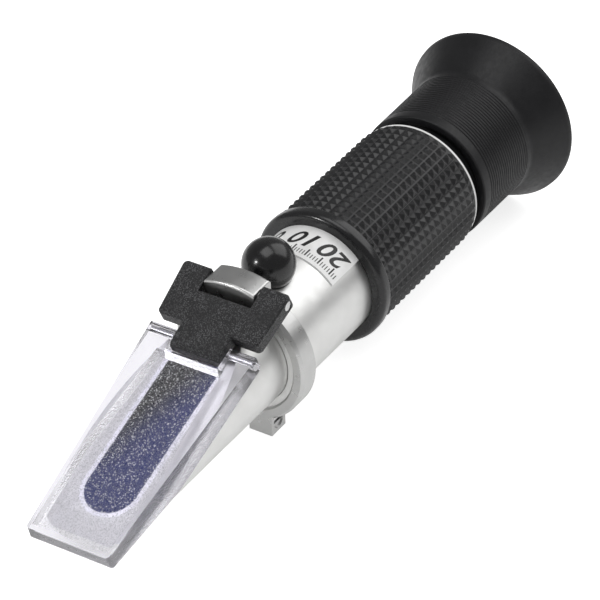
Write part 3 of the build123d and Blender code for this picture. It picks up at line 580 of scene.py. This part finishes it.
class REFRACTO_OT_label(BuildOperator, bpy.types.Operator):
    """Finish the label film and print its scale with plain figures"""

    bl_idname = "refracto.label"
    bl_label = "Label"

    def execute(self, context):
        given = context.scene.refracto_label
        film = moulded("label_film", given.film_color, 0.34, 900.0, 0.05, 0.5, 0.15)
        dress("label", film)
        ink = moulded("label_ink", (0.008, 0.008, 0.008, 1), 0.42, 2600.0, 0.1)
        low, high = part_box("label")
        ink_height = 0.02 * MM
        radius = high.z - AXIS_Z + ink_height
        edit = bmesh.new()
        figures = ((-0.60, "0"), (-0.05, "10"), (0.55, "20"))
        for angle, word in figures:
            self.print_word(edit, word, given.figure_height, low.x + 8.0 * MM, angle, radius)
        self.print_ticks(edit, low.x + 1.3 * MM, radius)
        self.print_outline(edit, low.x, high.x, radius)
        finish_piece("label_print", edit, "housing", [ink], (), None)
        return {"FINISHED"}

    def print_ticks(self, edit, x, radius):
        """Row of tick marks round the tube, every fifth one longer and broader."""
        tick_count = 33
        first_angle = -0.80
        tick_step = 0.05
        for k in range(tick_count):
            fifth = k % 5 == 0
            length = (2.2 if fifth else 1.3) * MM
            half = (0.16 if fifth else 0.09) * MM
            self.print_bar(edit, x, length, first_angle + k * tick_step, half, radius)

    def print_outline(self, edit, front, rear, radius):
        """Hairline along the two side edges and the front edge of the film."""
        half_angle = math.radians(49.7)
        hair = 0.05 * MM
        for angle in (-half_angle, half_angle):
            self.print_bar(edit, rear, rear - front, angle, hair, radius)
        steps = 40
        for k in range(steps):
            angle = half_angle * ((2 * k + 1) / steps - 1)
            self.print_bar(edit, front + 2 * hair, 2 * hair, angle, radius * half_angle / steps, radius)

    def wrap(self, across, up, x, angle, radius):
        """Point of the print: across runs round the tube, up runs towards the prism."""
        return on_tube(x - up, radius, angle - across / radius)

    def print_bar(self, edit, x, length, angle, half, radius):
        corners = ((-half, -length), (half, -length), (half, 0), (-half, 0))
        edit.faces.new([edit.verts.new(self.wrap(a, u, x, angle, radius)) for a, u in corners])

    def print_word(self, edit, word, height, x, angle, radius):
        text = bpy.data.curves.new("figure", "FONT")
        text.body = word
        size_per_height = 1.42
        text.size = height * size_per_height
        text.shear = 0.28
        text.offset = 0.00012
        text.align_x = "CENTER"
        text.resolution_u = 4
        holder = bpy.data.objects.new("figure", text)
        bpy.context.scene.collection.objects.link(holder)
        bpy.context.view_layer.update()
        flat = bpy.data.meshes.new_from_object(holder.evaluated_get(bpy.context.evaluated_depsgraph_get()))
        bpy.data.objects.remove(holder)
        flat_edit = bmesh.new()
        flat_edit.from_mesh(flat)
        bpy.data.meshes.remove(flat)
        lowest = min(v.co.x for v in flat_edit.verts)
        highest = max(v.co.x for v in flat_edit.verts)
        strips = 12
        cuts = [lowest + (highest - lowest) * i / strips for i in range(1, strips)]
        for cut in cuts:
            geometry = flat_edit.verts[:] + flat_edit.edges[:] + flat_edit.faces[:]
            bmesh.ops.bisect_plane(flat_edit, geom=geometry, plane_co=(cut, 0, 0), plane_no=(1, 0, 0))
        centre = (lowest + highest) / 2
        made = {}
        for vert in flat_edit.verts:
            made[vert] = edit.verts.new(self.wrap(vert.co.x - centre, vert.co.y, x, angle, radius))
        for face in flat_edit.faces:
            edit.faces.new([made[v] for v in face.verts])
        flat_edit.free()


def plate_point(down, across, height):
    """Point of the cover plate's plane: down the slope, across and above the top face, in metres."""
    return PLATE_REAR + PLATE_DOWN * down + Vector((0, across, 0)) + PLATE_NORMAL * height


class REFRACTO_OT_plate(BuildOperator, bpy.types.Operator):
    """Finish the clear cover plate, its frosted floor and underside"""

    bl_idname = "refracto.plate"
    bl_label = "Cover plate"

    def execute(self, context):
        given = context.scene.refracto_plate
        material, graph, shader = new_material(
            "clear_acrylic", Metallic=0.0, Transmission_Weight=1.0, IOR=1.49)
        depth = graph.along(PLATE_NORMAL, PLATE_REAR.dot(PLATE_NORMAL))
        from_floor = graph.math("ABSOLUTE", graph.math("ADD", depth, WELL_DEPTH))
        from_base = graph.math("ABSOLUTE", graph.math("ADD", depth, PLATE_THICKNESS))
        fade = (0.00008, 0.00004)
        floor = graph.ramp(from_floor, *fade)
        base = graph.ramp(from_base, *fade)
        frost = graph.math("MAXIMUM", floor, base)
        cloud = use_effect(graph, "soft_mottle", Scale=600.0, Low=0.0, High=0.03)
        rough = graph.math("ADD", graph.math("MULTIPLY", frost, 0.20), cloud)
        graph.feed(shader.inputs["Roughness"], rough)
        pits = use_effect(graph, "bright_speckle", Scale=4300.0, Share=0.35, Size=0.9)
        pits = graph.math("MULTIPLY", pits, floor)
        graph.feed(shader.inputs["Base Color"], graph.blend(pits, given.acrylic_tint, (0.40, 0.40, 0.43, 1)))
        grain = use_effect(graph, "surface_grain", Scale=3200.0, Spread=0.2)
        height = graph.math("MULTIPLY", grain, frost)
        add_bump(graph, shader, height, 0.5, 0.00005)
        self.let_light_through(graph, shader)
        dress("cover_plate", material)
        self.add_painted_glints(given)
        return {"FINISHED"}

    def add_painted_glints(self, given):
        """Painted glints of the frosted floor: pale grains on a skin just above it, with holes between them,
        stand in for the lights' reflections on the frost; outside the window the skin also paints a faint
        pale veil of painted light, and dark grains.
        """
        material, graph, shader = new_material("painted_frost_glints", Roughness=0.5, Specular_IOR_Level=0.3)
        # Pale grains painted where the frost would glint: painted highlights, not a colour of the plate
        glint_mask = use_effect(graph, "bright_speckle", Scale=4300.0, Share=given.glint_share, Size=0.70)
        glint_strength = use_effect(graph, "soft_mottle", Scale=2600.0, Low=0.7, High=1.6)
        aside = graph.math("ABSOLUTE", graph.along(Vector((0, 1, 0))))
        window_side = (0.0056, 0.0066)
        window_front = (0.0420, 0.0435)
        aside = graph.ramp(aside, *window_side)
        ahead = graph.ramp(graph.along(PLATE_DOWN, PLATE_REAR.dot(PLATE_DOWN)), *window_front)
        outside = graph.math("MAXIMUM", aside, ahead)
        dark = use_effect(graph, "bright_speckle", Scale=5000.0, Share=0.5, Size=0.7)
        dark = graph.math("MULTIPLY", dark, outside, True)
        painted_light_color = (0.88, 0.88, 0.92, 1)
        dark_grain = (0.22, 0.22, 0.24, 1)
        graph.feed(shader.inputs["Base Color"], graph.blend(dark, painted_light_color, dark_grain))
        # Outside the window a faint pale veil of painted light brightens the floor over the housing seat
        painted_veil = graph.math("MAXIMUM", graph.math("MULTIPLY", outside, 0.12), graph.math("MULTIPLY", dark, 0.6))
        shown = graph.math("MAXIMUM", graph.math("MULTIPLY", glint_mask, glint_strength), painted_veil)
        graph.feed(shader.inputs["Alpha"], shown)
        edit = bmesh.new()
        # Distances down the slope and half widths of the floor, in mm
        stations = ((5.9, 6.9), (14.0, 7.3), (31.0, 8.6), (49.0, 7.9))
        height = -WELL_DEPTH + 0.03 * MM
        near = [edit.verts.new(plate_point(s * MM, -w * MM, height)) for s, w in stations]
        far = [edit.verts.new(plate_point(s * MM, w * MM, height)) for s, w in stations]
        edit.faces.new(near + far[::-1])
        finish_piece("floor_painted_glints", edit, "plate", [material], (), None)

    def let_light_through(self, graph, shader):
        """Shadow rays pass the clear plate, so what lies under it is lit."""
        output = [n for n in graph.nodes if n.bl_idname == "ShaderNodeOutputMaterial"][0]
        path = graph.add("LightPath")
        clear = graph.add("BsdfTransparent", {"Color": (0.9, 0.9, 0.93, 1)})
        mix = graph.add("MixShader", {0: path.outputs["Is Shadow Ray"]})
        graph.links.new(shader.outputs[0], mix.inputs[1])
        graph.links.new(clear.outputs[0], mix.inputs[2])
        graph.links.new(mix.outputs[0], output.inputs[0])


class REFRACTO_OT_prism(BuildOperator, bpy.types.Operator):
    """Finish the measuring prism and the sealant around it"""

    bl_idname = "refracto.prism"
    bl_label = "Measuring prism"

    def execute(self, context):
        given = context.scene.refracto_plate
        material, graph, shader = new_material("prism_glass", Specular_IOR_Level=0.15)
        # The top shows, through the glass, the prism's black side face and blue-painted front end: both
        # colours are the prism's own paint, but their blend across the top is a painted view through the
        # glass
        down = graph.along(PLATE_DOWN, PLATE_REAR.dot(PLATE_DOWN))
        across = graph.along(Vector((0, -1, 0)))
        slant = graph.math("ADD", down, graph.math("MULTIPLY", across, 2.6))
        share = graph.ramp(slant, 0.004, 0.027, smooth=True)
        black = (0.0025, 0.0025, 0.004, 1)
        graph.feed(shader.inputs["Base Color"], graph.blend(share, black, given.prism_blue))
        rough = use_effect(graph, "soft_mottle", Scale=900.0, Low=0.22, High=0.4)
        graph.feed(shader.inputs["Roughness"], rough)
        dress("measuring_prism", material)
        seal = moulded("grey_sealant", (0.74, 0.74, 0.78, 1), 0.55, 1800.0, 0.3)
        dress("prism_seal", seal)
        return {"FINISHED"}


class REFRACTO_OT_inner(BuildOperator, bpy.types.Operator):
    """Finish the lenses, the reticle and the blackened mounts inside the tube"""

    bl_idname = "refracto.inner"
    bl_label = "Inner optics"

    def execute(self, context):
        anodised = satin_metal("black_anodised", (0.03, 0.03, 0.034, 1), 0.45, 2600.0, 0.3, 0.9)
        mounts = ("baffle_ring", "reticle_holder", "reticle_retaining_ring", "objective_cell",
                  "objective_retaining_ring", "lens_spacer")
        for node in mounts:
            dress(node, anodised)
        glass, graph, shader = new_material("coated_lens", IOR=1.52, Transmission_Weight=1.0, Coat_Weight=0.2)
        tint = graph.add("LayerWeight", {"Blend": 0.35})
        graph.feed(shader.inputs["Base Color"],
                   graph.blend(tint.outputs["Facing"], (0.93, 0.95, 0.94, 1), (0.70, 0.62, 0.86, 1)))
        rough = use_effect(graph, "soft_mottle", Scale=400.0, Low=0.0, High=0.03)
        graph.feed(shader.inputs["Roughness"], rough)
        for node in ("objective_lens", "field_lens", "eye_lens", "reticle_disc"):
            dress(node, glass)
        return {"FINISHED"}


class REFRACTO_OT_stage(BuildOperator, bpy.types.Operator):
    """Set up the pale floor, the soft studio lights and the camera"""

    bl_idname = "refracto.stage"
    bl_label = "Studio"

    def execute(self, context):
        given = context.scene.refracto_stage
        self.add_floor(given)
        self.add_world()
        self.add_light("overhead_softbox", (-0.15, 0.05, 1.20), size=0.8, energy=4.2)
        self.add_light("front_key", (-0.85, 0.48, 0.50), size=0.10, energy=2.4)
        self.add_light("rear_softbox", (0.62, -0.34, 0.72), size=0.9, energy=4.0)
        self.add_camera()
        context.scene.view_settings.view_transform = "Standard"
        return {"FINISHED"}

    def add_floor(self, given):
        half = given.floor_size / 2
        mesh = bpy.data.meshes.new("floor")
        corners = [(-half, -half, 0), (half, -half, 0), (half, half, 0), (-half, half, 0)]
        mesh.from_pydata(corners, [], [(0, 1, 2, 3)])
        floor = bpy.data.objects.new("floor", mesh)
        bpy.context.scene.collection.objects.link(floor)
        material, graph, shader = new_material("pale_floor", Roughness=0.9, Specular_IOR_Level=0.1)
        tone = use_effect(graph, "soft_mottle", Scale=3.0, Low=0.0, High=1.0)
        near = [0.985 * c for c in given.floor_color[:3]] + [1]
        graph.feed(shader.inputs["Base Color"], graph.blend(tone, given.floor_color, near))
        path = graph.add("LightPath")
        side = graph.math("MAXIMUM", path.outputs["Is Glossy Ray"], path.outputs["Is Transmission Ray"])
        seen_glow = graph.math("MULTIPLY", path.outputs["Is Camera Ray"], 0.78)
        mirrored_glow = graph.math("MULTIPLY", side, 0.30)
        glow = graph.math("MAXIMUM", seen_glow, mirrored_glow)
        shader.inputs["Emission Color"].default_value = (1, 1, 1, 1)
        graph.feed(shader.inputs["Emission Strength"], glow)
        mesh.materials.append(material)

    def add_world(self):
        world = bpy.data.worlds.new("studio_world")
        bpy.context.scene.world = world
        world.use_nodes = True
        world.node_tree.nodes.clear()
        graph = Graph(world.node_tree)
        path = graph.add("LightPath")
        through = graph.math("MULTIPLY", path.outputs["Is Transmission Ray"], 0.30)
        seen = graph.math("MAXIMUM", path.outputs["Is Camera Ray"], through)
        light_strength = 0.30
        backdrop_strength = 1.0
        strength = graph.ramp(seen, 0, 1, light_strength, backdrop_strength)
        background = graph.add("Background", {"Color": (1, 1, 1, 1), "Strength": strength})
        output = graph.add("OutputWorld")
        graph.links.new(background.outputs[0], output.inputs[0])

    def add_light(self, name, place, size, energy):
        lamp = bpy.data.lights.new(name, "AREA")
        lamp.shape = "SQUARE"
        lamp.size = size
        lamp.energy = energy
        holder = bpy.data.objects.new(name, lamp)
        bpy.context.scene.collection.objects.link(holder)
        holder.location = place
        aim = Vector((0, 0, AXIS_Z)) - Vector(place)
        holder.rotation_euler = aim.to_track_quat("-Z", "Y").to_euler()

    def add_camera(self):
        lens = bpy.data.cameras.new("photo_camera")
        lens.lens = 240
        lens.sensor_width = 36
        lens.clip_start = 0.05
        holder = bpy.data.objects.new("photo_camera", lens)
        bpy.context.scene.collection.objects.link(holder)
        # Place and directions solved from the photograph's perspective
        place = Vector((-0.54018, -0.36191, 0.49423))
        right = Vector((0.5348, -0.8444, -0.0322))
        back = Vector((-0.6725, -0.4484, 0.5888)).normalized()
        right = (right - back * right.dot(back)).normalized()
        up = back.cross(right)
        turn = Matrix((right, up, back)).transposed().to_4x4()
        holder.matrix_world = Matrix.Translation(place) @ turn
        bpy.context.scene.camera = holder


STEPS = (
    REFRACTO_OT_metal,
    REFRACTO_OT_bracket,
    REFRACTO_OT_grip,
    REFRACTO_OT_eyecup,
    REFRACTO_OT_cap,
    REFRACTO_OT_label,
    REFRACTO_OT_plate,
    REFRACTO_OT_prism,
    REFRACTO_OT_inner,
    REFRACTO_OT_stage,
)

SETTINGS = {
    "refracto_metal": MetalSettings,
    "refracto_bracket": BracketSettings,
    "refracto_grip": GripSettings,
    "refracto_eyecup": EyecupSettings,
    "refracto_label": LabelSettings,
    "refracto_plate": PlateSettings,
    "refracto_stage": StageSettings,
}


class REFRACTO_PT_panel(bpy.types.Panel):
    bl_idname = "REFRACTO_PT_panel"
    bl_label = "Refractometer"
    bl_space_type = "VIEW_3D"
    bl_region_type = "UI"
    bl_category = "Refractometer"

    def draw(self, context):
        for step in STEPS:
            self.layout.operator(step.bl_idname)
        for name, group in SETTINGS.items():
            box = self.layout.box()
            for key in group.__annotations__:
                box.prop(getattr(context.scene, name), key)


def register():
    for group in SETTINGS.values():
        bpy.utils.register_class(group)
    for name, group in SETTINGS.items():
        setattr(bpy.types.Scene, name, bpy.props.PointerProperty(type=group))
    for step in STEPS:
        bpy.utils.register_class(step)
    bpy.utils.register_class(REFRACTO_PT_panel)


def unregister():
    bpy.utils.unregister_class(REFRACTO_PT_panel)
    for step in reversed(STEPS):
        bpy.utils.unregister_class(step)
    for name, group in SETTINGS.items():
        delattr(bpy.types.Scene, name)
        bpy.utils.unregister_class(group)


def main():
    register()
    bpy.ops.refracto.metal()
    bpy.ops.refracto.bracket()
    bpy.ops.refracto.grip()
    bpy.ops.refracto.eyecup()
    bpy.ops.refracto.cap()
    bpy.ops.refracto.label()
    bpy.ops.refracto.plate()
    bpy.ops.refracto.prism()
    bpy.ops.refracto.inner()
    bpy.ops.refracto.stage()


if __name__ == "__main__":
    main()
